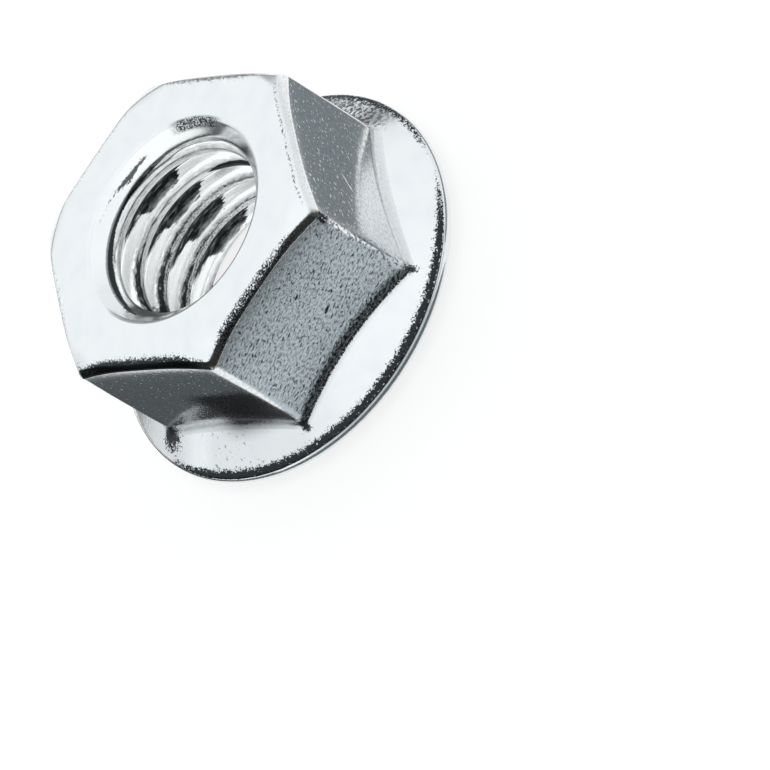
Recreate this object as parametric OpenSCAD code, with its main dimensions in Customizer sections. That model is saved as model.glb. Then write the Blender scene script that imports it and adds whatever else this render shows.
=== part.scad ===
// Serrated hex flange nut, one cold-forged and tapped piece, millimetres.
// It rests on its flange: the serration tips are at z = 0 and the thread runs along +Z.
// The bore is drawn at the minor diameter of the 3/8-16 thread.

/* [Hexagon] */
// Width across the flats
across_flats = 14.29; // [13.9:0.01:14.7]
// Width across the rounded corners as a share of the width across the flats
corner_share = 1.145; // [1.12:0.005:1.15]
// Height from the serration tips to the top face
nut_h = 8.7; // [7.5:0.1:10]
// Width across the flats where the rolled top edge starts
top_flats = 13.74; // [13.4:0.02:13.9]
// Height of the rolled top edge
top_roll_h = 0.42; // [0.3:0.02:0.8]
// Diameter at which the chamfer over the corners starts
chamfer_d = 14.4; // [13:0.1:14.8]
// Slope of the chamfer over the corners, in degrees
chamfer_slope = 30; // [20:1:35]
// Radius of the fillet between the flats and the flange
fillet_r = 0.65; // [0.4:0.05:0.8]

/* [Flange] */
// Diameter of the flange
flange_d = 18.9; // [18.4:0.1:20]
// Height at which the sloping top of the flange meets the rounded rim
rim_h = 1.15; // [1.05:0.05:1.4]
// Slope of the top of the flange, in degrees
flange_slope = 30; // [25:1:32]
// Radius of the upper edge of the rim
rim_upper_r = 0.3; // [0.2:0.02:0.36]
// Radius of the lower edge of the rim
rim_lower_r = 0.36; // [0.2:0.02:0.4]

/* [Serrations] */
// Number of teeth on the bearing face
teeth = 24; // [16:1:32]
// Height of a tooth from its root to its tip
tooth_h = 0.34; // [0.2:0.02:0.4]
// Radius at which the teeth start, just outside the plain ring round the bore
tooth_in_r = 6.1; // [5.9:0.1:6.4]
// Radius at which the teeth end, just inside the rounded rim
tooth_out_r = 8.8; // [8.6:0.05:8.9]
// How far a tooth swings back from its outer end to its inner end, in degrees
tooth_swing = 27; // [10:1:35]
// Share of the pitch that the steep side of a tooth takes
steep_share = 0.1; // [0.06:0.01:0.2]
// Share of the pitch that the narrow flat tip of a tooth takes
land_share = 0.06; // [0.02:0.01:0.1]

/* [Bore] */
// Minor diameter of the thread
bore_d = 7.98; // [7.6:0.01:8.2]
// Diameter of the countersink in the top face
top_sink_d = 9.95; // [9.6:0.05:10.4]
// Diameter of the countersink in the bearing face
bottom_sink_d = 10; // [9.6:0.05:10.4]
// Radius of the soft lip round the countersink in the top face
lip_r = 0.35; // [0.2:0.05:0.5]

/* [Hidden] */
$fn = 96;
zinc = "#dfe6e8";

corner_d = across_flats * corner_share;
flange_r = flange_d / 2;
pitch_deg = 360 / teeth;
// The sloping top of the flange starts here, at the end of the arc over the rim
cone_x = flange_r - rim_upper_r * (1 - sin(flange_slope));
// The plain face lies just above the roots of the teeth
face_z = tooth_h + 0.03;
// Points on each rounded edge of the rim, and where the flange ends inside the hexagon
arc_steps = 6;
core_r = 6.6;
// The hexagon and the toothed ring reach this far into the flange
hex_z = 1;
ring_top_z = 0.8;
// Cutting shapes and turned stock stand this far clear of the finished nut
spare = 1;

// How a tooth curves: 0 at its outer end, 1 at its inner end, and nearly all of it near the bore
swing_power = 2.4;
// Lengths over which a tooth rises at its two ends
tooth_in_rise = 0.12;
tooth_out_rise = 0.22;
// The inner end of a tooth is a scallop: its sides start this much further out
scallop = 0.14;
// The ramp of a tooth takes this share of the pitch, and its flat tip ends at the second one
ramp_share = 1 - steep_share - land_share;
tip_share = 1 - steep_share;
// Rings of points along a tooth, and points across it as shares of the pitch
tooth_rings = 7;
tooth_shares = [0, ramp_share / 2, ramp_share, tip_share];

// Columns of points round the fillet, how far it bites into the solids beside it, and its depth in them
fillet_columns = 96;
fillet_bite = 0.03;
fillet_root = 0.6;

// Width across the corners of a hexagon that is w across the flats
function over_corners(w) = w / cos(30);

// Arc in a profile, from angle a to angle b
function arc(x, y, r, a, b) =
    [for (i = [0 : arc_steps]) let (t = a + (b - a) * i / arc_steps) [x + r * cos(t), y + r * sin(t)]];

// Height of the flange's sloping top at distance r from the axis
function cone_z(r) = rim_h + (cone_x - r) * tan(flange_slope);

// Distance from the axis to the side of the hexagon in direction a
function side_r(a) = min(across_flats / 2 / cos(a % 60 - 30), corner_d / 2);

// Closed ring woven from rings of n points, which run round its section and then meet the first one again
module woven(points, n) {
    rings = len(points) / n;
    faces = [for (i = [0 : rings - 1], j = [0 : n - 1], half = [0, 1])
        let (a = i * n + j, b = i * n + (j + 1) % n, next = ((i + 1) % rings) * n,
             c = next + (j + 1) % n, d = next + j)
        half == 0 ? [a, c, b] : [a, d, c]];
    polyhedron(points = points, faces = faces);
}

// Hexagonal body with rounded corners, a rolled top edge and a chamfer over the corners
module hexagon() {
    intersection() {
        translate([0, 0, hex_z]) cylinder(d = over_corners(across_flats), h = nut_h - hex_z, $fn = 6);
        cylinder(d = corner_d, h = nut_h + spare);
        chamfer_stock();
        roll_stock();
    }
}

// Turned stock whose top is a flat disc that slopes away over the corners
module chamfer_stock() {
    outer_r = corner_d / 2 + spare;
    drop = (outer_r - chamfer_d / 2) * tan(chamfer_slope);
    rotate_extrude()
        polygon([[0, 0], [outer_r, 0], [outer_r, nut_h - drop], [chamfer_d / 2, nut_h], [0, nut_h]]);
}

// Hexagonal stock that leans in at the top: its upper part becomes the rolled edge of each flat
module roll_stock() {
    lean = (across_flats - top_flats) / top_roll_h;
    cylinder(d1 = over_corners(top_flats + lean * nut_h), d2 = over_corners(top_flats), h = nut_h, $fn = 6);
}

// Flange: a disc with a sloping top and a rounded rim
module flange() {
    rotate_extrude()
        polygon(concat(
            [[0, face_z]],
            arc(flange_r - rim_lower_r, face_z + rim_lower_r, rim_lower_r, -90, 0),
            arc(flange_r - rim_upper_r, rim_h - rim_upper_r * cos(flange_slope), rim_upper_r, 0, 90 - flange_slope),
            [[core_r, cone_z(core_r)], [0, cone_z(core_r)]]));
}

// Fillet along the foot of the flats: it climbs the flange's slope from each corner to the middle of a flat
module fillet() {
    turns = [for (j = [0 : fillet_columns - 1]) 360 * j / fillet_columns];
    sections = [for (a = turns)
        let (r = side_r(a), z = cone_z(r + fillet_r) + fillet_r / cos(flange_slope))
        concat(
            [[r - fillet_root, cone_z(r) - fillet_root]],
            arc(r + fillet_r - fillet_bite, z - fillet_bite, fillet_r, 270 - flange_slope, 180),
            [[r - fillet_root, z]])];
    woven([for (i = [0 : len(sections[0]) - 1], j = [0 : fillet_columns - 1])
        let (r = sections[j][i].x, z = sections[j][i].y) [r * cos(turns[j]), r * sin(turns[j]), z]],
        fillet_columns);
}

// Radius of ring i on a tooth, at share s of the pitch: only the inner end is scalloped
function tooth_start(s) = tooth_in_r + scallop * abs(1 - 2 * s / tip_share);
function tooth_r(i, s) =
    tooth_start(s) + tooth_in_rise + (tooth_out_r - tooth_start(s) - tooth_in_rise) * i / (tooth_rings - 1);

// Angle of share s of tooth k at radius r
function tooth_a(k, s, r) =
    (k + s) * pitch_deg
    - tooth_swing * pow(max(0, (tooth_out_r - r) / (tooth_out_r - tooth_in_r)), swing_power);

// A tooth is a ratchet: a long ramp from its root down to its flat tip, and a steep side
function tooth_z(s) = tooth_h * max(0, 1 - s / ramp_share);

function on_ring(k, s, r, z) = let (a = tooth_a(k, s, r)) [r * cos(a), r * sin(a), z];

// Closed ring of curved ratchet teeth, whose upper part lies inside the flange
module serrations() {
    across = [for (k = [0 : teeth - 1], s = tooth_shares) [k, s]];
    buried_in = [for (c = across) on_ring(c[0], c[1], tooth_start(c[1]), ring_top_z)];
    ramps = [for (i = [0 : tooth_rings - 1], c = across) on_ring(c[0], c[1], tooth_r(i, c[1]), tooth_z(c[1]))];
    out_end = [for (c = across) on_ring(c[0], c[1], tooth_out_r + tooth_out_rise, face_z + 0.02)];
    buried_out = [for (c = across) on_ring(c[0], c[1], tooth_out_r + tooth_out_rise, ring_top_z)];
    woven(concat(buried_in, ramps, out_end, buried_out), len(across));
}

// Bore at the minor diameter with a right-angled countersink at each end, the upper one with a soft lip
module bore() {
    lip_x = top_sink_d / 2 + lip_r * tan(22.5);
    top_z = nut_h + spare;
    translate([0, 0, -spare]) cylinder(d = bore_d, h = nut_h + 2 * spare);
    rotate_extrude()
        polygon(concat(
            [[0, nut_h - (top_sink_d - bore_d) / 2], [bore_d / 2, nut_h - (top_sink_d - bore_d) / 2]],
            arc(lip_x, nut_h - lip_r, lip_r, 135, 90),
            [[lip_x, top_z], [0, top_z]]));
    translate([0, 0, face_z - spare])
        cylinder(d1 = bottom_sink_d + 2 * spare, d2 = bore_d, h = (bottom_sink_d - bore_d) / 2 + spare);
}

module flange_nut() {
    color(zinc) difference() {
        union() {
            hexagon();
            flange();
            fillet();
            serrations();
        }
        bore();
    }
}

flange_nut();
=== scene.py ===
# %% [markdown]
# A serrated flange nut is one piece of steel: forged cold from wire, tapped, and plated with bright zinc.
# The packed solid gives its true sizes and its collision. What it lacks is the thread in the bore, the
# softness of its teeth and the skin of the plating, so this lesson builds a finer nut round it. We start
# by loading the solid as a fixed frame and by keeping its box, which the finished nut has to fit.

# %% Load the frame
import math
import bmesh
import bpy
import numpy as np
from mathutils import Matrix, Vector


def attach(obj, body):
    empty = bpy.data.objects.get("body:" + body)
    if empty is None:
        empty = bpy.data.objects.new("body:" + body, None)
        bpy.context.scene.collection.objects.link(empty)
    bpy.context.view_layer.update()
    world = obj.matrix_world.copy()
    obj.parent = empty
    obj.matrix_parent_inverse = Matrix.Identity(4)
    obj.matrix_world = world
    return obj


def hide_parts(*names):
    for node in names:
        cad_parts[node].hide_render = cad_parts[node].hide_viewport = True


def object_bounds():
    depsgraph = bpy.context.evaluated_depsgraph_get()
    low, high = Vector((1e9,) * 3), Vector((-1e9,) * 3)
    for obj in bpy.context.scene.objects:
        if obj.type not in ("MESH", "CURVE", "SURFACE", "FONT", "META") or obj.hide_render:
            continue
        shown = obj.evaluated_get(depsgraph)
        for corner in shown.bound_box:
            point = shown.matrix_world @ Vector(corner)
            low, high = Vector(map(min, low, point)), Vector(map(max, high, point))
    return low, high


MM = 0.001
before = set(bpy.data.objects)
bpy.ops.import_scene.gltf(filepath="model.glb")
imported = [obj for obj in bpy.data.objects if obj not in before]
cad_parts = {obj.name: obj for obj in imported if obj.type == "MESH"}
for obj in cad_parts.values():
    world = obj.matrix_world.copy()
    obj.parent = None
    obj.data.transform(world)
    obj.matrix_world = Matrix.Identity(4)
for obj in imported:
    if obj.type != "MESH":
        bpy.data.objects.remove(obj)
cad_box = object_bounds()
print("solid box in mm", [[round(c / MM, 3) for c in corner] for corner in cad_box])

# %% [markdown]
# The nut's whole outside is one closed skin. It could be cut with booleans, but the facets that those
# leave show as creases on shiny metal. A skin woven as one grid has none: every row of points runs once
# round the axis, and the rows follow the section from the bearing face out over the rim, up the hexagon,
# across the top and down through the thread. These are the sizes that drive it, in millimetres.

# %% Driving sizes
flange_r = min(-cad_box[0].x, -cad_box[0].y, cad_box[1].x, cad_box[1].y) / MM
nut_h = cad_box[1].z / MM
half_flats = 14.29 / 2
corner_r = 0.45
teeth = 24
tooth_h = 0.34
tooth_gap = 0.03
face_z = tooth_h + tooth_gap
tooth_in_r, tooth_out_r = 6.1, 8.8
tooth_swing, swing_power = math.radians(27), 2.4
rim_lower_r, rim_upper_r, rim_h = 0.36, 0.3, 1.15
flange_slope = math.radians(30)
thread_pitch, minor_r, major_r = 25.4 / 16, 3.99, 4.7625
top_sink_r, bottom_sink_r = 4.975, 5.0
print("flange", round(2 * flange_r, 2), "height", round(nut_h, 2))

# %% [markdown]
# The columns of the grid are directions round the axis. A ratchet tooth has a long ramp and a short steep
# side, so each tooth takes its columns as shares of its pitch, crowded where it turns sharply. Every
# fourth tooth lies under a corner of the hexagon, and that corner asks for a few more.

# %% Columns round the axis
tooth_pitch = 2 * math.pi / teeth
ramp_share, tip_share = 0.84, 0.9
tooth_shares = [
    0, 0.04, 0.1, 0.2, 0.3, 0.4, 0.5, 0.6, 0.7, 0.78, 0.83, 0.855, 0.88, 0.9, 0.92, 0.94, 0.96, 0.98,
]
corner_shares = [0.02, 0.06, 0.08, 0.12, 0.15]
teeth_per_corner = teeth // 6
column_shares = [
    k + s
    for k in range(teeth)
    for s in sorted(tooth_shares + (corner_shares if k % teeth_per_corner == 0 else []))
]
turn = np.array(column_shares) * tooth_pitch
share = np.array(column_shares) % 1
columns = len(turn)
print("columns", columns)

# %% [markdown]
# The outline of the hexagon is a distance from the axis for each direction. Its flats are straight and
# its corners are short arcs. Seen from the middle of a flat the direction never leans more than 30
# degrees, so one flat is worked out and repeated six times.

# %% The outline of the hexagon
half_sector = math.pi / 6
least_arc = 0.05


def from_flat(angle):
    """Angle from the middle of the nearest flat."""
    return (angle % (2 * half_sector)) - half_sector


def hexagon(angle, inset=0.0):
    """Distance from the axis to the rounded hexagon, drawn in by inset."""
    lean = np.abs(from_flat(angle))
    flat = half_flats - inset
    arc = max(corner_r - inset, least_arc)
    centre = (flat - arc) / math.cos(half_sector)
    to_corner = half_sector - lean
    half_chord = np.sqrt(np.maximum(arc**2 - (centre * np.sin(to_corner)) ** 2, 0))
    arc_reach = centre * np.cos(to_corner) + half_chord
    starts_at = math.atan2(arc / 2, centre + arc * math.cos(half_sector))
    return np.where(to_corner < starts_at, arc_reach, flat / np.cos(lean))


print("across corners", round(2 * float(hexagon(turn).max()), 2))

# %% [markdown]
# A soft corner between two slopes comes from a smooth version of max: where the two are close it rounds
# over, and elsewhere it is just the larger one. The same helper rounds the thread and its run-out.

# %% Smooth maximum
def smooth_max(a, b, soft):
    return 0.5 * (a + b + np.sqrt((a - b) ** 2 + soft**2))


def smooth_min(a, b, soft):
    return -smooth_max(-a, -b, soft)


def ease(x):
    """0 below 0, 1 above 1, and a smooth step between."""
    x = np.clip(x, 0, 1)
    return x * x * (3 - 2 * x)


print("a soft corner between 1 and 1 stands at", smooth_max(1, 1, 0.2))

# %% [markdown]
# A row is a distance, a height and a shift of direction for every column, and marks that the finish reads
# later, such as how much it is a flat, the foot of a flat or a crest of the thread. Rows are gathered in
# one list in the order in which a finger would run over the nut's section, from the bearing face to the
# thread.

# %% Gather rows
rows = []


def add_row(r, z, shift=0.0, **marks):
    whole = np.ones(columns)
    rows.append((r * whole, z * whole, shift * whole, {k: v * whole for k, v in marks.items()}))


print("rows", len(rows))

# %% [markdown]
# The bearing face comes first. A plain ring with a faint turned groove lies round the bore, and outside it
# the teeth swing back like the blades of a fan. Their columns are sheared by the same law, so a tooth's
# edge always runs along a column, never across one. In the plain ring the shear unwinds again.

# %% The plain ring
bottom_lip_r, lip_steps = 0.2, 4
ring_steps, ring_stop = 9, 0.06
groove_depth, groove_width, groove_off = 0.025, 0.16, 0.3
scallop = 0.14
ring_edge = bottom_sink_r + bottom_lip_r * math.tan(math.pi / 8)
for i in range(lip_steps):
    lean = math.pi / 4 * (1 - i / lip_steps)
    add_row(ring_edge - bottom_lip_r * math.sin(lean), face_z + bottom_lip_r * (1 - math.cos(lean)))


def swing(r):
    """How far a tooth has swung back at distance r."""
    inward = np.clip((tooth_out_r - r) / (tooth_out_r - tooth_in_r), 0, 1)
    return -tooth_swing * inward**swing_power


tooth_start = tooth_in_r + scallop * np.abs(1 - 2 * np.minimum(share / tip_share, 1))
for i in range(ring_steps):
    t = i / ring_steps
    r = ring_edge + (tooth_start - ring_stop - ring_edge) * t
    groove = groove_depth * np.exp(-(((r - ring_edge - groove_off) / groove_width) ** 2))
    add_row(r, face_z + groove, swing(tooth_start) * ease(t))
print("rows with the plain ring", len(rows))

# %% [markdown]
# A tooth is a ramp from its root down to its tip and a steep drop behind it. It rises out of the plain
# ring along a scalloped end, and at the other end it dies away into the lower edge of the rim, which is
# why the rim of such a nut looks slightly wavy.

# %% The teeth and the lower edge of the rim
tooth_rows, arc_rows = 19, 9
eased_share = 0.25
tooth_form = np.where(
    share < tip_share,
    ease(share / ramp_share) * eased_share + np.clip(share / ramp_share, 0, 1) * (1 - eased_share),
    1 - ease((share - tip_share) / (1 - tip_share)),
)
tooth_depth = tooth_gap + tooth_h * tooth_form
rise_steps, end_rise = (-0.03, 0.0, 0.035, 0.07, 0.105), 0.14
for step in rise_steps:
    w = ease((step - rise_steps[0]) / end_rise)
    r = tooth_start + step
    add_row(r, face_z - tooth_depth * w, swing(r), notch=1 - w)
lower_arc_r = flange_r - rim_lower_r
fade_r, fade_run = 8.7, 0.62
for i in range(tooth_rows):
    r = tooth_start + end_rise + (lower_arc_r - tooth_start - end_rise) * i / tooth_rows
    w = 1 - ease((r - fade_r) / fade_run)
    add_row(r, face_z - tooth_depth * w, swing(r))
for i in range(arc_rows):
    a = math.pi / 2 * i / arc_rows
    w = 1 - ease((lower_arc_r - fade_r + rim_lower_r * a) / fade_run)
    out, down = math.sin(a), math.cos(a)
    r = lower_arc_r + rim_lower_r * out + tooth_depth * w * out
    add_row(r, face_z + rim_lower_r * (1 - down) - tooth_depth * w * down)
print("rows with the teeth", len(rows))

# %% [markdown]
# The side of the rim rounds over at the top and runs into the sloping flange. A painted black line, a
# painted dark reflection, sits in the crease above the rim, so the rows there are close together and carry
# a mark that fades from one to the next.

# %% The rim and its crease
rim_turn = math.pi / 2 - flange_slope
rim_rows = 8
crease_rise, crease_delay = 1.6, 0.3
upper_x = flange_r - rim_upper_r
upper_z = rim_h - rim_upper_r * math.cos(flange_slope)
for a in np.linspace(0, rim_turn, rim_rows):
    crease = ease(crease_rise * a / rim_turn - crease_delay)
    add_row(upper_x + rim_upper_r * math.cos(a), upper_z + rim_upper_r * math.sin(a), crease=crease)
cone_x = upper_x + rim_upper_r * math.sin(flange_slope)


def cone_z(r):
    """Height of the flange's slope at distance r from the axis."""
    return rim_h + (cone_x - r) * math.tan(flange_slope)


crease_fade = ((0.07, 0.9), (0.15, 0.7), (0.24, 0.4), (0.36, 0.15))
for inward, crease in crease_fade:
    add_row(cone_x - inward, cone_z(cone_x - inward), slope=1, crease=crease)
print("rows with the rim", len(rows))

# %% [markdown]
# Where the slope meets a flat of the hexagon there is a fillet, which follows the flat: high in its
# middle and low at the corners. Three marks fade away from the corners here. Plating wears off the
# corner's own edge, painted shade pinches into a horn at its foot, and the painted black line along the
# top, a painted dark reflection, thins out towards it.

# %% The slope and the fillet
wear_start, wear_run, pinch_run, taper_run = 0.1, 0.2, 0.55, 1.6
side_r = hexagon(turn)
off_corner = (half_sector - np.abs(from_flat(turn))) * side_r
worn_edge = 1 - ease((off_corner - wear_start) / wear_run)
pinch = 1 - ease(off_corner / pinch_run)
taper = 1 - ease(off_corner / taper_run)
fillet_r, fillet_rows = 0.65, 9
slope_rows, plain_rows, horn_rise = 6, 2, 3
foot_r = side_r + fillet_r * (1 - math.sin(flange_slope))
slope_start = cone_x - crease_fade[-1][0]
for i in range(1, slope_rows + 1):
    r = slope_start + (foot_r - slope_start) * i / (slope_rows + 1)
    add_row(r, cone_z(r), slope=1, horn=pinch * max(0, i - plain_rows) / (slope_rows + 1 - plain_rows))
fillet_z = cone_z(side_r + fillet_r) + fillet_r / math.cos(flange_slope)
for a in np.linspace(rim_turn, 0, fillet_rows):
    along = a / rim_turn
    add_row(side_r + fillet_r * (1 - math.cos(a)), fillet_z - fillet_r * math.sin(a),
            slope=along, flats=1 - along, foot=along, edge=worn_edge * (1 - along),
            horn=pinch * ease(along * horn_rise))
print("rows with the fillet", len(rows))

# %% [markdown]
# The flats rise to a rolled edge, and a cone takes a little off each corner. The roll is summed up from small
# steps, each leaning in more than the one below, and rows are laid at some of them. The drop of the cone is
# a smooth maximum too, so the top face has no hard ring on it.

# %% The flats and the rolled edge
roll_length, roll_steps = 0.46, 60
roll_spots, roll_leans = [0, 0.16, 0.84, 1], [0, 33, 43, 90]
rows_at = (0, 3, 6, 9, 16, 30, 44, 51, 54, 57, 60)
flat_fade, brim_rise = 6, 8
chamfer_r, chamfer_slope, chamfer_soft = 7.25, math.radians(30), 0.22
lip_r = 0.35
lip_edge = top_sink_r + lip_r * math.tan(math.pi / 8)
chamfer_least = 0.5 * (lip_edge - chamfer_r + math.hypot(lip_edge - chamfer_r, chamfer_soft))


def top_z(r):
    """Height of the top face and its cone at distance r from the axis."""
    drop = smooth_max(r - chamfer_r, 0, chamfer_soft) - chamfer_least
    return nut_h - np.maximum(drop, 0) * math.tan(chamfer_slope)


roll_lean = np.radians(np.interp(np.linspace(0, 1, roll_steps), roll_spots, roll_leans))
roll_in = np.insert(np.cumsum(np.sin(roll_lean)), 0, 0) * roll_length / roll_steps
roll_up = np.insert(np.cumsum(np.cos(roll_lean)), 0, 0) * roll_length / roll_steps
flat_top = top_z(side_r) - roll_up[-1]
flat_rows = 7
for i in range(1, flat_rows):
    add_row(side_r, fillet_z + (flat_top - fillet_z) * i / flat_rows, flats=1, edge=worn_edge)
for i in rows_at:
    rolled = i / roll_steps
    r = hexagon(turn, roll_in[i])
    add_row(r, top_z(r) - roll_up[-1] + roll_up[i],
            flats=1 - ease(rolled * flat_fade), roll=math.sin(math.pi * rolled),
            brim=ease(rolled * brim_rise - 1), edge=worn_edge * (1 - rolled), taper=taper)
print("rows with the rolled edge", len(rows))

# %% [markdown]
# On the top face the painted black line of the rolled edge, a painted dark reflection, fades over half a
# millimetre. Then the face runs in to the soft lip of the countersink.

# %% The top face and its lip
brim_fade = ((0.07, 0.85), (0.15, 0.65), (0.25, 0.42), (0.38, 0.2), (0.55, 0.06))
top_rows, top_lip_steps = 8, 6
edge_r = hexagon(turn, roll_in[-1])
for inward, brim in brim_fade:
    add_row(edge_r - inward, top_z(edge_r - inward), brim=brim, taper=taper)
edge_r = edge_r - brim_fade[-1][0]
for i in range(1, top_rows):
    r = edge_r + (lip_edge - edge_r) * i / top_rows
    add_row(r, top_z(r))
for i in range(top_lip_steps):
    a = math.pi / 4 * i / top_lip_steps
    add_row(lip_edge - lip_r * math.sin(a), nut_h - lip_r * (1 - math.cos(a)))
outside_rows = len(rows)
print("rows outside the bore", outside_rows)

# %% [markdown]
# The thread is a helix, and level rows would cut across its crests and leave a saw edge on them. So in
# the bore the rows climb with the thread, one pitch in a turn, and where the last column meets the first
# one they are joined a pitch apart. This is the thread's own section, with its heights crowded at the
# corners.

# %% The section of the thread
flank_lean = math.tan(math.pi / 6)
root_half, thread_soft = 0.17, 0.06
crest_half = 0.5 * thread_pitch - (major_r - minor_r) * flank_lean - root_half
crest_rows = [0, 0.1, 0.155, 0.2, 0.3, 0.44, 0.57, 0.63, 0.7]
pitch_rows = np.array(crest_rows + [thread_pitch / 2] + [thread_pitch - d for d in crest_rows[:0:-1]])
rows_per_pitch = len(pitch_rows)


def thread_r(height):
    """Distance from the axis to the thread, at a height above the middle of a crest."""
    off_middle = np.abs((height + thread_pitch / 2) % thread_pitch - thread_pitch / 2)
    flank = minor_r + (off_middle - crest_half) / flank_lean
    return smooth_max(smooth_min(flank, major_r, thread_soft), minor_r, thread_soft)


print("rows to a pitch", rows_per_pitch)

# %% [markdown]
# Rows that would climb past an end of the bore are held at that end. The crests run out where the
# countersinks, which are smooth cones, cut them away, and the uppermost turn starts shallow.

# %% The rows of the bore
bore_top = nut_h - lip_r * (1 - math.cos(math.pi / 4))
bore_low = face_z + bottom_lip_r * (1 - math.cos(math.pi / 4))
thread_turn = math.radians(44)
sink_soft, end_run = 0.14, 0.4
entry_r, entry_z, entry_run = 4.17, 7.8, 0.15
entry_spare, entry_soft = 0.02, 0.04
sink_run, crest_off, crest_run = 0.4, 0.03, 0.08
first_pitch = math.ceil(bore_top / thread_pitch) + 1
last_pitch = -2
starts = np.concatenate([(k + 1) * thread_pitch - pitch_rows for k in range(first_pitch, last_pitch - 1, -1)])
helix = thread_pitch * (turn + thread_turn) / (2 * math.pi)
for start in starts:
    z = np.clip(start + helix, bore_low, bore_top)
    sinks = np.maximum(top_sink_r - (nut_h - z), bottom_sink_r - (z - face_z))
    entry = entry_r + (major_r - entry_r) * ease((entry_z - z) / entry_run) + entry_spare
    r = smooth_max(smooth_min(thread_r(z - helix), entry, entry_soft), sinks, sink_soft)
    near_end = ease((bore_top - z) / end_run) * ease((z - bore_low) / end_run)
    r = sinks + (r - sinks) * near_end
    in_sink = ease((sinks - minor_r) / sink_run)
    on_crest = 1 - ease((r - minor_r - crest_off) / crest_run)
    add_row(r, z, sink=in_sink, thread=1 - in_sink, crest=on_crest)
print("rows in the bore", len(rows) - outside_rows)

# %% [markdown]
# Now the rows are woven into a skin. Between two neighbouring rows and columns there is one four-sided
# face. Rows that were held at an end of the bore lie on top of each other, so their points are merged and
# the empty faces between them go. The marks travel with the points as attributes for the finish.

# %% Weave the skin
merge_reach = 1e-7


def points_of(row):
    r, z, shift, _ = row
    return np.stack([r * np.cos(turn + shift), r * np.sin(turn + shift), z], axis=1) * MM


def weave(name):
    points = np.concatenate([points_of(row) for row in rows])
    n, faces = len(rows), []
    wrap = [max(i - rows_per_pitch, outside_rows) if i >= outside_rows else i for i in range(n)]
    for i in range(n):
        k = (i + 1) % n
        near, far = i * columns, k * columns
        for j in range(columns - 1):
            faces.append((near + j, near + j + 1, far + j + 1, far + j))
        last = columns - 1
        faces.append((near + last, wrap[i] * columns, wrap[k] * columns, far + last))
    mesh = bpy.data.meshes.new(name)
    mesh.from_pydata(points.tolist(), [], faces)
    for mark in sorted({m for row in rows for m in row[3]}):
        values = np.concatenate([row[3].get(mark, np.zeros(columns)) for row in rows])
        mesh.attributes.new(mark, "FLOAT", "POINT").data.foreach_set("value", values.astype(np.float32))
    return mesh


def merge_points(mesh):
    bm = bmesh.new()
    bm.from_mesh(mesh)
    bmesh.ops.remove_doubles(bm, verts=bm.verts, dist=merge_reach)
    bmesh.ops.dissolve_degenerate(bm, edges=bm.edges, dist=merge_reach)
    loose = [v for v in bm.verts if not v.link_faces]
    bmesh.ops.delete(bm, geom=loose, context="VERTS")
    for face in bm.faces:
        face.smooth = True
    open_edges = sum(not edge.is_manifold for edge in bm.edges)
    bm.to_mesh(mesh)
    bm.free()
    return open_edges


skin = weave("nut_skin")
open_edges = merge_points(skin)
nut = bpy.data.objects.new("nut_skin", skin)
bpy.context.scene.collection.objects.link(nut)
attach(nut, "root")
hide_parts("flange_nut")
triangles = sum(len(p.vertices) - 2 for p in skin.polygons)
print("points", len(skin.vertices), "triangles", triangles, "open edges", open_edges)

# %% [markdown]
# The finish is written as sums. A wire stands for the output of a shader node, and adding or multiplying
# two wires adds the Math node that does it, so a rule such as "dark where the grain is deep" reads like
# the sentence.

# %% Sums on a surface
class Wire:
    """The output of a shader node, with the usual sums."""

    def __init__(self, recipe, socket):
        self.recipe, self.socket = recipe, socket

    def __add__(self, other):
        return self.recipe.work("ADD", self, other)

    def __sub__(self, other):
        return self.recipe.work("SUBTRACT", self, other)

    def __rsub__(self, other):
        return self.recipe.work("SUBTRACT", other, self)

    def __mul__(self, other):
        return self.recipe.work("MULTIPLY", self, other)

    def __abs__(self):
        return self.recipe.work("ABSOLUTE", self)

    __radd__, __rmul__ = __add__, __mul__


print("a wire knows", [name for name in Wire.__dict__ if name[-5:] in ("add__", "sub__", "mul__", "abs__")])

# %% [markdown]
# Every node comes from one method, which adds the node, sets it up and then joins its sockets. The other
# methods are short names for what this finish needs often: a mark of the skin, a smooth step, a band
# between two steps, a curve through points, a noise and a mixed colour.

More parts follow.
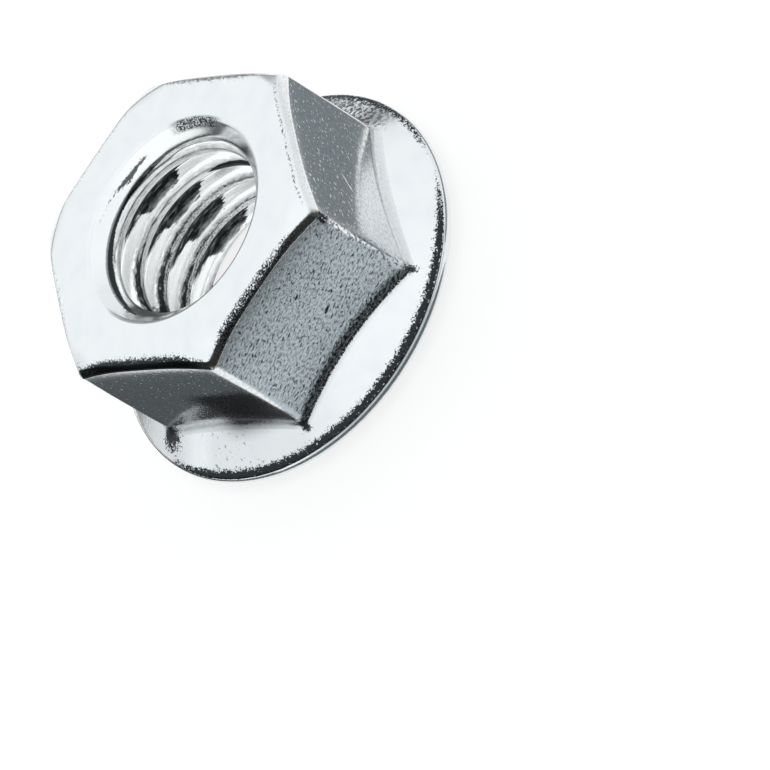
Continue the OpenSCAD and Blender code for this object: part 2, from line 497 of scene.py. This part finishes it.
# %% Nodes and what they are used for
class Recipe:
    """Adds the nodes of one material or of the world, and gives back wires."""

    def __init__(self, tree):
        self.nodes, self.links = tree.nodes, tree.links

    def node(self, kind, settings=None, values=None, output=0):
        made = self.nodes.new(kind)
        for name, setting in (settings or {}).items():
            if name == "stops":
                self.set_stops(made.color_ramp.elements, setting)
            else:
                setattr(made, name, setting)
        for name, value in (values or {}).items():
            self.feed(made.inputs[name], value)
        return Wire(self, made.outputs[output])

    def set_stops(self, stops, wanted):
        """Grey levels along a ramp, the first at its start and the last at its end."""
        for i, (spot, grey) in enumerate(wanted):
            stop = stops[0] if i == 0 else stops[-1] if i == len(wanted) - 1 else stops.new(spot)
            stop.color = (grey, grey, grey, 1)

    def feed(self, socket, value):
        if isinstance(value, Wire):
            self.links.new(value.socket, socket)
        else:
            socket.default_value = value

    def work(self, operation, *terms):
        return self.node("ShaderNodeMath", {"operation": operation}, dict(enumerate(terms)))

    def mark(self, name):
        """A mark that was woven into the skin."""
        return self.node("ShaderNodeAttribute", {"attribute_name": name}, output="Fac")

    def between(self, value, low, high):
        """0 where value is below low, 1 above high, and smooth between."""
        return self.node("ShaderNodeMapRange", {"interpolation_type": "SMOOTHSTEP"},
                         {"Value": value, "From Min": low, "From Max": high})

    def band(self, value, low, high, soft):
        """1 where value lies between low and high."""
        return self.between(value, low, low + soft) * (1 - self.between(value, high - soft, high))

    def curve(self, value, points):
        """The height of a line through points at value."""
        spots, levels = zip(*points)
        start, run, least, most = spots[0], spots[-1] - spots[0], min(levels), max(levels)
        stops = [((spot - start) / run, (level - least) / (most - least)) for spot, level in points]
        ramp = self.node("ShaderNodeValToRGB", {"stops": stops}, {0: (value - start) * (1 / run)})
        return ramp * (most - least) + least

    def noise(self, spot, scale, detail=2.0, rough=0.5):
        return self.node("ShaderNodeTexNoise", None,
                         {"Vector": spot, "Scale": scale, "Detail": detail, "Roughness": rough})

    def vector(self, x, y, z):
        return self.node("ShaderNodeCombineXYZ", None, {"X": x, "Y": y, "Z": z})

    def parts(self, vector):
        """The three parts of a vector."""
        split = self.node("ShaderNodeSeparateXYZ", None, {0: vector}).socket.node
        return [Wire(self, split.outputs[axis]) for axis in "XYZ"]

    def length(self, vector):
        return self.node("ShaderNodeVectorMath", {"operation": "LENGTH"}, {0: vector}, output="Value")

    def clamp(self, value):
        return self.node("ShaderNodeClamp", None, {0: value})

    def mix(self, factor, first, second):
        """A colour between two others."""
        return self.node("ShaderNodeMix", {"data_type": "RGBA"}, {0: factor, 6: first, 7: second}, output=2)


print("a recipe knows", [name for name in Recipe.__dict__ if not name.startswith("_")])

# %% [markdown]
# Most of the finish is laid out in two ways: in plain millimetres, and in millimetres along the outline
# of the nut and up it. The die dragged along the flats at a small lean, so the dashes have coordinates of
# their own.

# %% Coordinates for the finish
zinc = bpy.data.materials.new("bright_zinc")
zinc.use_nodes = True
skin.materials.append(zinc)
plating = Recipe(zinc.node_tree)
between, band, curve = plating.between, plating.band, plating.curve
metres = plating.node("ShaderNodeTexCoord", output="Object")
place = plating.node("ShaderNodeVectorMath", {"operation": "SCALE"}, {0: metres, "Scale": 1 / MM})
x, y, z = plating.parts(place)
radius = plating.length(plating.vector(x, y, 0.0))
outline_along = plating.work("ARCTAN2", y, x) * half_flats
drag_angle = math.radians(18)
along_dash = outline_along * math.cos(drag_angle) + z * math.sin(drag_angle)
across_dash = z * math.cos(drag_angle) - outline_along * math.sin(drag_angle)
print("a dash leans", round(math.degrees(drag_angle)), "degrees on a flat")

# %% [markdown]
# Much of the dirt lies on one side of the nut only. So off_far gives the direction round the axis in
# degrees, counted from the wall of the bore that faces the camera. In the bore there is also the height
# above the middle of the nearest crest.

# %% Directions round the nut
far_way = math.radians(204)
far_cos, far_sin = math.cos(far_way), math.sin(far_way)
off_far = plating.work("ARCTAN2", y * far_cos - x * far_sin, x * far_cos + y * far_sin) * (180 / math.pi)
climb = z - off_far * (thread_pitch / 360) - thread_pitch * (far_way + thread_turn) / (2 * math.pi)
off_crest = plating.work("WRAP", climb, thread_pitch / 2, -thread_pitch / 2)
depth = (radius - minor_r) * (1 / (major_r - minor_r))


def round_nut(levels):
    """A level that changes round the nut, from pairs of a direction in degrees and its level."""
    return curve(off_far, levels)


def sector(first, last, soft):
    """1 between two directions round the nut."""
    return band(off_far, first, last, soft)


print("directions are counted from", round(math.degrees(far_way)), "degrees")

# %% [markdown]
# Specks and dashes are noise that is cut off at a level: only its peaks are left. Dashes are the same
# noise stretched along the way the die dragged. Mottling is soft noise that is left whole. A noise is
# about a half everywhere, so to make a border ragged it is moved down to swing round nothing.

# %% Textures of the skin
def dragged(stretch, layer):
    """Coordinates that draw a noise out along the dashes."""
    return plating.vector(along_dash * stretch, layer, across_dash)


def ragged(noise, reach):
    """A noise that swings round nothing, by about half of reach each way."""
    return (noise - 0.5) * reach


mottle = plating.noise(place, 0.9, 3)
fine_mottle = plating.noise(place, 5.0, 3)
speck_noise = plating.noise(place, 9.0, 2, 0.6)
fine_speck = plating.noise(place, 15.0, 2, 0.6)
blotch_noise = plating.noise(place, 5.5, 3, 0.6)
grain = plating.noise(dragged(0.6, 0.0), 10.0, 2, 0.6)
dashes = between(plating.noise(dragged(0.4, 7.0), 11.0, 1) + ragged(mottle, 0.2), 0.62, 0.7)
gouges = between(plating.noise(dragged(0.35, 30.0), 5.0, 1), 0.71, 0.75)
spark_noise = plating.noise(dragged(0.5, 90.0), 9.0, 1)
streak_noise = plating.noise(plating.vector(off_far * 0.025, 50.0, z), 15.0, 3, 0.6)
thread_noise = plating.noise(plating.vector(off_far * 0.009, 70.0, climb), 15.0, 3, 0.6)
print("textures", sum(node.type == "TEX_NOISE" for node in plating.nodes))

# %% [markdown]
# The same zinc lies on a different skin in each place. Each mark that was woven into the skin says where
# a texture belongs. Two opposite flats are coarse, with deep dashes, and the other four are drawn finer.

# %% Marks of the skin
flats, edge, roll, brim, taper = map(plating.mark, ("flats", "edge", "roll", "brim", "taper"))
slope, crease, foot, horn, notch = map(plating.mark, ("slope", "crease", "foot", "horn", "notch"))
thread, sink, crest = map(plating.mark, ("thread", "sink", "crest"))
bore = thread + sink
side = flats * (1 - edge)
half_turns = outline_along * (2 / half_flats) - math.radians(60)
coarse = side * between(plating.work("COSINE", half_turns), 0.35, 0.5)
fine = side - coarse
print("marks", sum(node.type == "ATTRIBUTE" for node in plating.nodes))

# %% [markdown]
# The flats were dragged through a die, which tore fine dashes along them. Handling has added a few
# straight marks. Such a mark is a box on one flat that is turned by its lean, with a ragged border. The
# same helper paints a broad dark patch on the left flat, which is a painted dark reflection.

# %% The dragged flats
def stroke(flat, along, height, lean, reach, half_width):
    """A straight mark on the flat that faces a direction, at a place along and up that flat."""
    out_x, out_y = math.cos(math.radians(flat)), math.sin(math.radians(flat))
    lean_cos, lean_sin = math.cos(math.radians(lean)), math.sin(math.radians(lean))
    on_flat = between(x * out_x + y * out_y, half_flats - 0.1, half_flats - 0.05)
    off_along, off_height = y * out_x - x * out_y - along, z - height
    across = off_height * lean_cos - off_along * lean_sin + ragged(fine_speck, 0.08)
    lengthwise = off_along * lean_cos + off_height * lean_sin
    width = 1 - between(abs(across), half_width * 0.6, half_width)
    return band(lengthwise, -reach, reach, reach * 0.5) * width * on_flat


dent = stroke(flat=30, along=0.73, height=4.4, lean=20, reach=0.28, half_width=0.09)
scratch = stroke(flat=90, along=-0.77, height=5.07, lean=35, reach=0.6, half_width=0.06)
# A broad patch of painted dark reflection on the left flat.
left_flat_shade = stroke(flat=-30, along=2.7, height=3.7, lean=0, reach=3.5, half_width=1.9) * (1 - edge)
torn = coarse * (0.14 + dashes * 0.95 + gouges + ragged(grain, 3.1)) + fine * (0.1 + ragged(grain, 1.2))
flat_marks_and_shade = torn + dent + left_flat_shade
print("nodes once the flats have dirt", len(plating.nodes))

# %% [markdown]
# A painted black line, a painted dark reflection, lies along the rolled edge of each flat. How wide and
# how black it is changes round the nut, so both are curves. On one flat it is only a row of dark dots.
# Each term is zero where its mark is zero, or the noise would spill over the top face.

# %% Painted dark reflection along the rolled edges
brim_tone = round_nut([
    (-180, 1), (-148, 1), (-142, 0.1), (-90, 0.1), (-84, 0.9), (-20, 0.7), (0, 0.4), (91, 0.4), (97, 1),
    (180, 1),
])
brim_level = round_nut([
    (-180, 0.82), (-168, 0.84), (-158, 0.95), (-146, 1.1), (-90, 0.75), (-84, 0.8), (-20, 0.8), (0, 0.9),
    (90, 0.9), (97, 0.58), (150, 0.58), (157, 0.8), (180, 0.82),
])
ragged_brim = brim - taper * 0.5 + ragged(fine_speck, 1.9) + ragged(speck_noise, 0.8)
# The black line along each rolled edge is a painted dark reflection.
brim_dark_reflection = between(ragged_brim, brim_level, brim_level + 0.12) * brim_tone * between(brim, 0.02, 0.15)
dots = between(speck_noise, 0.46, 0.54) * between(blotch_noise, 0.42, 0.5)
dotted = band(brim, 0.5, 0.95, 0.15) * dots * sector(-143, -85, 4) * 0.8
brim_reflection_and_dots = brim_dark_reflection + dotted
print("nodes once the rolled edges have dirt", len(plating.nodes))

# %% [markdown]
# The foot of a flat is painted darker just above the fillet, and a painted ragged black line lies on the
# fillet: painted shade and dark reflection. The height of the fillet follows from the slope of the flange,
# which a flat cuts higher near its middle.

# %% Painted shade along the foot of the flats
foot_tone = round_nut([
    (-180, 0.95), (-147, 0.95), (-141, 0), (-90, 0), (60, 0.4), (95, 0.4), (100, 0.06), (150, 0.06),
    (157, 0.95), (180, 0.95),
])
on_fillet = 1 - between(slope - foot, 0.02, 0.3)
foot_level = rim_h + (cone_x - fillet_r) * math.tan(flange_slope) + fillet_r / math.cos(flange_slope)
near_foot = side * (1 - between(z + radius * math.tan(flange_slope), foot_level, foot_level + 0.24))
foot_grey = band(foot, 0.02, 0.72, 0.2) * (0.45 + (fine_speck - 0.5) * foot * 2.0)
foot_black = between(band(foot, 0.42, 0.9, 0.2) + ragged(fine_speck, 1.8), 0.75, 0.85)
# Painted shade and dark reflection at the foot of each flat and on its fillet.
foot_shade = (foot_grey + near_foot * 0.5) * foot_tone * on_fillet + foot_black * on_fillet * foot_tone * 1.2
print("nodes once the foot of the flats has dirt", len(plating.nodes))

# %% [markdown]
# The crease above the rim holds a painted black line too, a painted dark reflection that is thick on the
# near side and thin or missing elsewhere. At the foot of each corner, painted shade pinches into a small
# horn on the flange.

# %% Painted shade in the crease and the horns
crease_level = round_nut([
    (-180, 0.5), (-130, 0.55), (-118, 0.9), (-108, 1.4), (-98, 0.85), (-84, 0.7), (-55, 0.6), (55, 1.5),
    (92, 1.6), (104, 0.8), (118, 0.45), (180, 0.5),
])
ragged_crease = crease + ragged(fine_speck, 1.8) + ragged(blotch_noise, 1.2)
# A painted black line of dark reflection in the crease above the rim.
crease_shade = between(ragged_crease, crease_level, crease_level + 0.1) * between(crease, 0.02, 0.2)
horn_level = round_nut([
    (-180, 0.95), (-130, 0.95), (-100, 1.1), (40, 1.1), (60, 0.6), (100, 0.6), (130, 0.95), (180, 0.95),
])
ragged_horn = horn + ragged(blotch_noise, 2.0) + ragged(fine_speck, 1.4)
# Painted shade pinched into a horn at the foot of each corner.
horn_shade = between(ragged_horn, horn_level, horn_level + 0.1) * between(horn, 0.02, 0.15)


def blot(azimuth, distance, size, reach):
    """A ragged black spot at a place on the flange."""
    way = math.radians(azimuth)
    off_spot = plating.length(plating.vector(x - distance * math.cos(way), y - distance * math.sin(way), 0.0))
    ragged_spot = off_spot + ragged(blotch_noise, reach) + ragged(fine_speck, reach)
    return (1 - between(ragged_spot, size, size + 0.08)) * plating.work("LESS_THAN", flats, 0.9)


big_blot = blot(-58, distance=8.4, size=0.5, reach=1.6)
small_blots = blot(0, distance=8.45, size=0.14, reach=0.9) + blot(60, distance=8.45, size=0.1, reach=0.8)
blots = big_blot + small_blots
print("nodes once the crease and the horns have dirt", len(plating.nodes))

# %% [markdown]
# The plating is worn at the corners, where it shows as broken grey, and one corner has a black end. The
# flange has scuffs, a stain and a faint tint on the side that was handled, and the lip of the countersink
# is dirty. The notches where the teeth rise out of the plain ring are painted darker as shade.

# %% Wear, stains and painted shade in the notches
one_corner = sector(-150, -138, 3)
black_end = edge * between(z, 6.9, 7.5) * one_corner * between(speck_noise, 0.36, 0.42)
worn = edge * flats * between(blotch_noise, 0.5, 0.58) * (0.15 + one_corner * 0.6)
scuffs = slope * between(fine_mottle, 0.62, 0.7) * sector(108, 142, 12) * 0.5
far_stain = slope * between(blotch_noise, 0.42, 0.56) * sector(-88, -40, 9) * 0.85
low_tint = slope * round_nut([
    (-180, 0.02), (-150, 0), (60, 0), (84, 0.1), (104, 0.12), (109, 0), (114, 0), (119, 0.13), (150, 0.13),
    (170, 0.04), (180, 0.02),
])
on_lip = band(radius, 4.55, 5.12, 0.15) * band(z, 8.25, 8.8, 0.05)
lip_dirt = on_lip * sector(-74, -32, 10) * (between(fine_speck, 0.4, 0.54) * 0.8 + 0.25)
lip_line = band(radius, 4.84, 5.06, 0.04) * between(z, 8.5, 8.56) * round_nut([
    (-180, 0.6), (-150, 0.5), (-110, 0.2), (-80, 0), (92, 0), (108, 0.55), (180, 0.55),
])
# The notches of the teeth are painted darker as shade.
stains_and_notch_shade = black_end + worn + scuffs + far_stain + low_tint + lip_dirt + lip_line + notch * 0.5
print("nodes with the wear and the stains", len(plating.nodes))

# %% [markdown]
# In the bore the grooves of the thread are painted with dark shadow that has streaky ends. It starts at a
# depth that changes round the bore, and further round it narrows to a painted wedge of shadow beside the
# middle of a crest. Two dark blotches are painted in the bore as well.

# %% Painted shadow in the thread
shadow_start = round_nut([
    (-180, 1.5), (-22, 1.5), (-11, 0.35), (0, 0.28), (11, 0.32), (15, 0.5), (18, 0.75), (30, 0.85), (40, 1),
    (44, 1.5), (180, 1.5),
])
shadow_reach = round_nut([
    (-180, 0.2), (-24, 2.4), (-12, 1.6), (-5, 0.4), (8, 0.3), (13, 1), (19, 0.7), (26, 0.3), (180, 0.1),
])
shadow = between(depth - shadow_start + (thread_noise - 0.5) * shadow_reach, 0.0, 0.12) * thread
# The dark in the grooves is painted shadow.
groove_shadow = shadow * (0.76 + between(depth, 0.4, 0.8) * 0.24 + ragged(thread_noise, 1.1))
wedge_half = round_nut([(-180, 0), (-70, 0.2), (-62, 0.24), (-42, 0.19), (-36, 0.12), (-29, 0), (180, 0)])
off_wedge = abs(off_crest - 0.03) + ragged(thread_noise, 0.12)
# A painted wedge of shadow beside the middle of a crest.
wedge = between(wedge_half - off_wedge, 0.0, 0.04) * band(z, 5.0, 6.1, 0.1) * thread
near_blot = sector(94, 140, 8) * band(z + ragged(blotch_noise, 0.5), 7.5, 8.28, 0.1)
far_height = band(z + ragged(thread_noise, 0.9), 4.3, 5.9, 0.15)
far_blot = band(off_far + ragged(blotch_noise, 16), 70, 110, 4) * far_height
thread_shade_and_blots = groove_shadow + wedge + (near_blot + far_blot) * 0.85 * bore
print("nodes with the dirt in the thread", len(plating.nodes))

# %% [markdown]
# The shoulder above each crest is painted with streaky grey shade, which changes round the bore. The
# crests are streaked with grey too, and in the lower half of the bore they are speckled as well.

# %% Streaked crests and painted shade above them
streaky = thread_noise * 2.4 - 0.3
shoulder_tone = round_nut([
    (-180, 0.2), (-45, 0.45), (-12, 0.25), (35, 0.45), (50, 0.85), (76, 1), (180, 0.2),
])
# Painted shade on the shoulder above each crest.
shoulder_shade = band(off_crest + ragged(thread_noise, 0.3), 0.08, 0.36, 0.08) * shoulder_tone * thread * streaky
crest_tone = round_nut([
    (-180, 0.1), (-60, 0.12), (-22, 0.25), (0, 0.4), (30, 0.55), (80, 0.7), (180, 0.3),
])
low_specks = (1 - between(z, 4.8, 5.0)) * (between(fine_speck, 0.48, 0.6) * 0.4 + 0.1)
crest_grey_and_shade = shoulder_shade + crest * (crest_tone * streaky + low_specks)
print("nodes with the torn crests", len(plating.nodes))

# %% [markdown]
# Where the countersink cuts the first turn of the thread there is a painted black arc, a painted dark
# reflection. It rises and falls round the bore, so its lower and upper border are two curves of height. A
# thin streak of painted shadow lies above it on the cone.

# %% The arc under the countersink
arc_low = round_nut([
    (-180, 8.4), (-44, 8.1), (-37, 7.95), (-24, 7.87), (-9, 7.77), (3, 7.77), (15, 7.84), (28, 7.87),
    (67, 7.87), (81, 7.9), (96, 8.0), (115, 8.27), (180, 8.5),
])
arc_top = round_nut([
    (-180, 8.3), (-44, 8.06), (-37, 8.0), (-24, 7.96), (-9, 7.95), (3, 7.98), (15, 8.05), (28, 8.09),
    (41, 8.11), (67, 8.15), (81, 8.16), (96, 8.21), (115, 8.3), (180, 8.4),
])
arc_shade = 0.55 + fine_speck * 0.3 + (1 - between(z, arc_top - 0.12, arc_top - 0.05)) * 0.35
# The black arc is a painted dark reflection.
arc = band(z + ragged(fine_speck, 0.1), arc_low, arc_top, 0.03) * arc_shade * bore
streak_middle = round_nut([(-180, 8.3), (-13, 8.32), (4, 8.26), (15, 8.38), (40, 8.5), (180, 8.5)])
streak_half = round_nut([
    (-180, 0), (-15, 0), (-11, 0.07), (4, 0.12), (14, 0.05), (18, 0.02), (40, 0), (180, 0),
])
off_streak = abs(z - streak_middle)
# The streak is a painted shadow under the edge of the cone.
streak = between(streak_half - off_streak + ragged(streak_noise, 0.3), 0.0, 0.05) * sector(-18, 40, 8) * sink
sink_shade = arc + streak * 0.9
print("nodes with the arc and the streak", len(plating.nodes))

# %% [markdown]
# Now the colour. Clean zinc is white, a little bluish and faintly mottled, and brightest where the tap
# and the countersink cut it; on one side of the countersink it is painted up to full white as a highlight.
# All the dirt, the painted shade and the painted dark reflections are added up and held between nothing
# and full, and together they take the clean colour towards black.

# %% Colour
zinc_white, zinc_pale, zinc_dark = (0.87, 0.89, 0.9, 1), (0.78, 0.82, 0.84, 1), (0.03, 0.035, 0.038, 1)
fresh_cut, black, white = (0.99, 1, 1, 1), (0, 0, 0, 1), (1, 1, 1, 1)
# On one side of the countersink the colour is painted up to full white as a highlight.
cut_cone_and_highlight = sink * round_nut([(-180, 0.2), (-62, 0.3), (-44, 1), (-8, 1), (16, 0.4), (180, 0.2)])
clean = plating.mix(between(mottle, 0.35, 0.75) * 0.5, zinc_white, zinc_pale)
clean = plating.mix(thread + cut_cone_and_highlight, clean, fresh_cut)
flange_shade_and_spots = foot_shade + crease_shade + horn_shade + blots * 0.95
bore_shade_and_marks = thread_shade_and_blots + crest_grey_and_shade + sink_shade
tone = plating.clamp(flat_marks_and_shade + brim_reflection_and_dots + flange_shade_and_spots + stains_and_notch_shade + bore_shade_and_marks)
shader = plating.nodes["Principled BSDF"]
plating.feed(shader.inputs["Base Color"], plating.mix(tone, clean, zinc_dark))
print("nodes with the colour", len(plating.nodes))

# %% [markdown]
# Polished zinc is a mirror, and dirt or a torn skin makes it dull. Some small spots aren't mirrors at all
# and show their own pale colour: sparks of scraped zinc on the finer flats and a scratch. The pale foot of
# two flats is made the same way, as a painted pale reflection. Plain metal can't show a pale spot in front
# of a dark reflection, so there the metal is turned down.

# %% Gloss and pale spots
third_flat = sector(-144, -84, 3)
sparks = between(spark_noise + third_flat * 0.035, 0.65, 0.73)
dull = coarse * 0.09 + foot * on_fillet * 0.15 + fine_mottle * 0.06 + tone * 0.15 + fine * sparks * 0.3
plating.feed(shader.inputs["Roughness"], 0.13 + dull - fine * 0.08)
# The pale foot of two flats is a painted pale reflection: its metal is turned down so its colour shows.
pale_foot_reflection = band(foot, 0.02, 1.1, 0.2) * on_fillet * (sector(-146, -82, 4) * 0.7 + sector(97, 155, 3) * 0.85)
light_spots = plating.clamp(fine * sparks * (third_flat * 0.5 + 0.2) + scratch + pale_foot_reflection)
plating.feed(shader.inputs["Metallic"], 1 - light_spots)
print("nodes with the gloss", len(plating.nodes))

# %% [markdown]
# In the photograph the flanks of the thread are nearly white, and here they came out greyer than that. A
# faint glow on the clean thread makes up the difference. Relief comes last: a bump that is only a few
# hundredths of a millimetre deep, because everything deeper is in the mesh.

# %% Glow and relief
glow = thread * (1 - tone) * (thread_noise * 0.2)
plating.feed(shader.inputs["Emission Color"], plating.mix(glow, black, white))
shader.inputs["Emission Strength"].default_value = 1
tears = coarse * (grain * 0.6 - dashes * 0.5 - gouges)
relief = tears + fine_mottle * (0.2 + slope * 0.3) + roll * speck_noise * 0.8 + crest * speck_noise * 0.4
bump = plating.node("ShaderNodeBump", None, {"Strength": 0.5, "Distance": 0.02 * MM, "Height": relief})
plating.feed(shader.inputs["Normal"], bump)
print("nodes in the finish", len(plating.nodes))

# %% [markdown]
# The photograph was taken with a long lens, looking down on the nut from the side of one flat and with
# the camera rolled far over. The camera stands on a sphere round the nut, is rolled about its line of
# sight, and is then slid sideways so that the nut lies in the upper left of the picture.

# %% The camera
camera_azimuth, camera_elevation = math.radians(35.11), math.radians(42.21)
camera_roll = math.radians(-59.25)
camera_distance, focal_length, sensor_width = 0.409, 423.2, 36
slide_right, slide_down = 3.96 * MM, 4.08 * MM
back = Vector((
    math.cos(camera_azimuth) * math.cos(camera_elevation),
    math.sin(camera_azimuth) * math.cos(camera_elevation),
    math.sin(camera_elevation),
))
level = Vector((-math.sin(camera_azimuth), math.cos(camera_azimuth), 0))
right = level * math.cos(camera_roll) + back.cross(level) * math.sin(camera_roll)
up = back.cross(right)
camera = bpy.data.objects.new("camera", bpy.data.cameras.new("camera"))
bpy.context.scene.collection.objects.link(camera)
camera.rotation_euler = Matrix((right, up, back)).transposed().to_euler()
camera.location = back * camera_distance + right * slide_right - up * slide_down
camera.data.lens, camera.data.sensor_width = focal_length, sensor_width
camera.data.clip_start, camera.data.clip_end = 0.05, 3
bpy.context.scene.camera = camera
bpy.context.scene.view_settings.view_transform = "Standard"
print("camera in metres", [round(c, 3) for c in camera.location])

# %% [markdown]
# Shiny metal shows what stands round it more than its own colour, so the studio matters as much as the
# finish. The floor is white, and to the camera and to the metal it glows a little, so that it stays white
# all over and still keeps the nut's soft shadow.

# %% The floor
def make_floor(size, strength, glow_share):
    """A white floor that glows a little where the camera or a mirror sees it."""
    bpy.ops.mesh.primitive_plane_add(size=size)
    floor = bpy.context.object
    floor.name = "floor"
    material = bpy.data.materials.new("floor_white")
    material.use_nodes = True
    recipe = Recipe(material.node_tree)
    paint = recipe.nodes["Principled BSDF"]
    paint.inputs["Base Color"].default_value = (0.9, 0.9, 0.9, 1)
    paint.inputs["Roughness"].default_value = 1
    paint.inputs["Specular IOR Level"].default_value = 0
    glowing = recipe.node("ShaderNodeEmission", None, {"Strength": strength})
    from_camera, from_mirror, from_glass = (
        recipe.node("ShaderNodeLightPath", output=ray)
        for ray in ("Is Camera Ray", "Is Glossy Ray", "Is Transmission Ray"))
    share = (from_camera + from_mirror + from_glass) * glow_share
    painted = Wire(recipe, paint.outputs[0])
    mixed = recipe.node("ShaderNodeMixShader", None, {0: share, 1: painted, 2: glowing})
    recipe.feed(recipe.nodes["Material Output"].inputs["Surface"], mixed)
    floor.data.materials.append(material)
    return floor


floor = make_floor(size=0.8, strength=1.08, glow_share=0.66)
print("floor in metres", [round(c, 3) for c in floor.dimensions[:2]])

# %% [markdown]
# A photographer lays cards round shiny metal, and their reflections draw its shape. Grey cards lie on the
# floor below the flats here, out of the camera's sight, with gaps between them below the corners, so that
# each flat turns grey and each corner keeps a white line.

# %% Cards round the nut
reach_share = 0.97


def beside(flat, near, far, first, last, steps=16):
    """Corners of a card that starts on a circle round the nut and ends on a line along a flat."""
    a = math.radians(flat)
    out, along = Vector((math.cos(a), math.sin(a))), Vector((-math.sin(a), math.cos(a)))
    widest = near * reach_share
    start, end = math.asin(max(first, -widest) / near), math.asin(min(last, widest) / near)
    ways = [start + (end - start) * i / steps for i in range(steps + 1)]
    circle = [(out * math.cos(w) + along * math.sin(w)) * near for w in ways]
    return circle + [out * far + along * last, out * far + along * first]


def crescent(first, last, inner, outer, steps=24):
    """Corners of a curved strip round the flange that narrows to nothing at both ends."""
    ways = [math.radians(first + (last - first) * i / steps) for i in range(steps + 1)]
    reach = [outer - (outer - inner) * (2 * i / steps - 1) ** 6 for i in range(steps + 1)]
    ring = [Vector((math.cos(a), math.sin(a))) for a in ways]
    return [v * r for v, r in zip(ring, reach)] + [v * inner for v in reversed(ring[1:-1])]


def lay_card(name, grey, corners):
    """A grey card just above the floor, which only mirrors see."""
    mesh = bpy.data.meshes.new(name)
    mesh.from_pydata([(c[0] * MM, c[1] * MM, 0.02 * MM) for c in corners], [], [tuple(range(len(corners)))])
    card = bpy.data.objects.new(name, mesh)
    bpy.context.scene.collection.objects.link(card)
    card.visible_camera = card.visible_diffuse = card.visible_shadow = False
    material = bpy.data.materials.new(name)
    material.use_nodes = True
    recipe = Recipe(material.node_tree)
    glowing = recipe.node("ShaderNodeEmission", None, {"Color": (0.89, 1.0, 1.05, 1), "Strength": grey})
    recipe.feed(recipe.nodes["Material Output"].inputs["Surface"], glowing)
    mesh.materials.append(material)
    return card


beside_right = [
    (-3, 10.0), (-1, 10.1), (0.8, 10.2), (1.7, 10.2), (2.8, 10.05), (3.8, 9.8), (4.5, 9.57), (5.2, 9.3),
    (5.9, 9.0), (6.5, 8.7), (14, 8.5), (14, 13.3), (-3, 13.3),
]
cards = [
    lay_card("card_left", 0.1, beside(-30, near=9.9, far=11.5, first=-13, last=1.5)),
    lay_card("card_far_left", 0.02, [(2, -21), (-120, -390), (390, -390), (18, -11), (8, -14.5)]),
    lay_card("card_front", 0.6, beside(30, near=10.7, far=17.0, first=-7.5, last=8)),
    lay_card("card_far_front", 0.06, [(21, -4), (60, -20), (46, 50), (6, 19)]),
    lay_card("card_right", 0.25, [(-along, out) for along, out in beside_right]),
    lay_card("card_rim", 0.13, crescent(-52, 67, inner=9.9, outer=10.6)),
]
print("cards", [card.name for card in cards])

# %% [markdown]
# One broad soft lamp stands high behind the nut. The rest of the light comes from pale walls and a pale
# ceiling, which are the world and get a little brighter with height. Near the horizon the walls are dark,
# and darker on the camera's side. That dark belt draws thin black lines along the rounded edges, which the
# painted dark lines make broader. A patch of the wall on the -X side is darker too, and what faces it turns
# greyer.

# %% The lamp and the walls
def soft_lamp(name, size, power, stand, aim=(0, 0, 0.004)):
    """A round lamp that mirrors don't show."""
    light = bpy.data.lights.new(name, "AREA")
    light.shape, light.size, light.energy = "DISK", size, power
    lamp = bpy.data.objects.new(name, light)
    bpy.context.scene.collection.objects.link(lamp)
    lamp.location = stand
    lamp.visible_glossy = False
    lamp.rotation_euler = (Vector(stand) - Vector(aim)).to_track_quat("Z", "Y").to_euler()


soft_lamp("over_lamp", size=0.3, power=0.2, stand=(-0.15, -0.1, 0.3))
world = bpy.data.worlds.new("studio")
bpy.context.scene.world = world
world.use_nodes = True
walls = Recipe(world.node_tree)
east, north, height = walls.parts(walls.node("ShaderNodeTexCoord", output="Generated"))
compass = walls.work("ARCTAN2", north, east) * (180 / math.pi)
belt_top = walls.curve(compass, [
    (-180, 0.05), (-125, 0.04), (-104, 0.06), (-98, 0.12), (-88, 0.16), (-75, 0.2), (-60, 0.25), (-48, 0.32),
    (-35, 0.4), (0, 0.46), (20, 0.5), (45, 0.5), (62, 0.42), (85, 0.3), (100, 0.1), (110, -0.1), (158, -0.1),
    (166, 0.0), (180, 0.0),
])
belt_soft = walls.curve(compass, [
    (-180, 0.08), (-110, 0.08), (-88, 0.14), (-60, 0.1), (0, 0.06), (180, 0.06),
])
patch = walls.band(compass, 171, 192, 6) * walls.band(height, 0.12, 0.48, 0.1)
lit = walls.between(height, belt_top, belt_top + belt_soft) * (1 - patch * 0.75)
bright = 0.9 + walls.between(height, 0.2, 0.6) * 0.12 + walls.between(height, 0.75, 0.95) * 0.05
background = walls.nodes["Background"]
walls.feed(background.inputs["Strength"], bright)
walls.feed(background.inputs["Color"], walls.mix(lit, (0.02, 0.02, 0.02, 1), (0.97, 1.0, 1.01, 1)))
print("nodes in the world", len(walls.nodes))

# %% [markdown]
# The finished nut has to fit inside the solid's box.
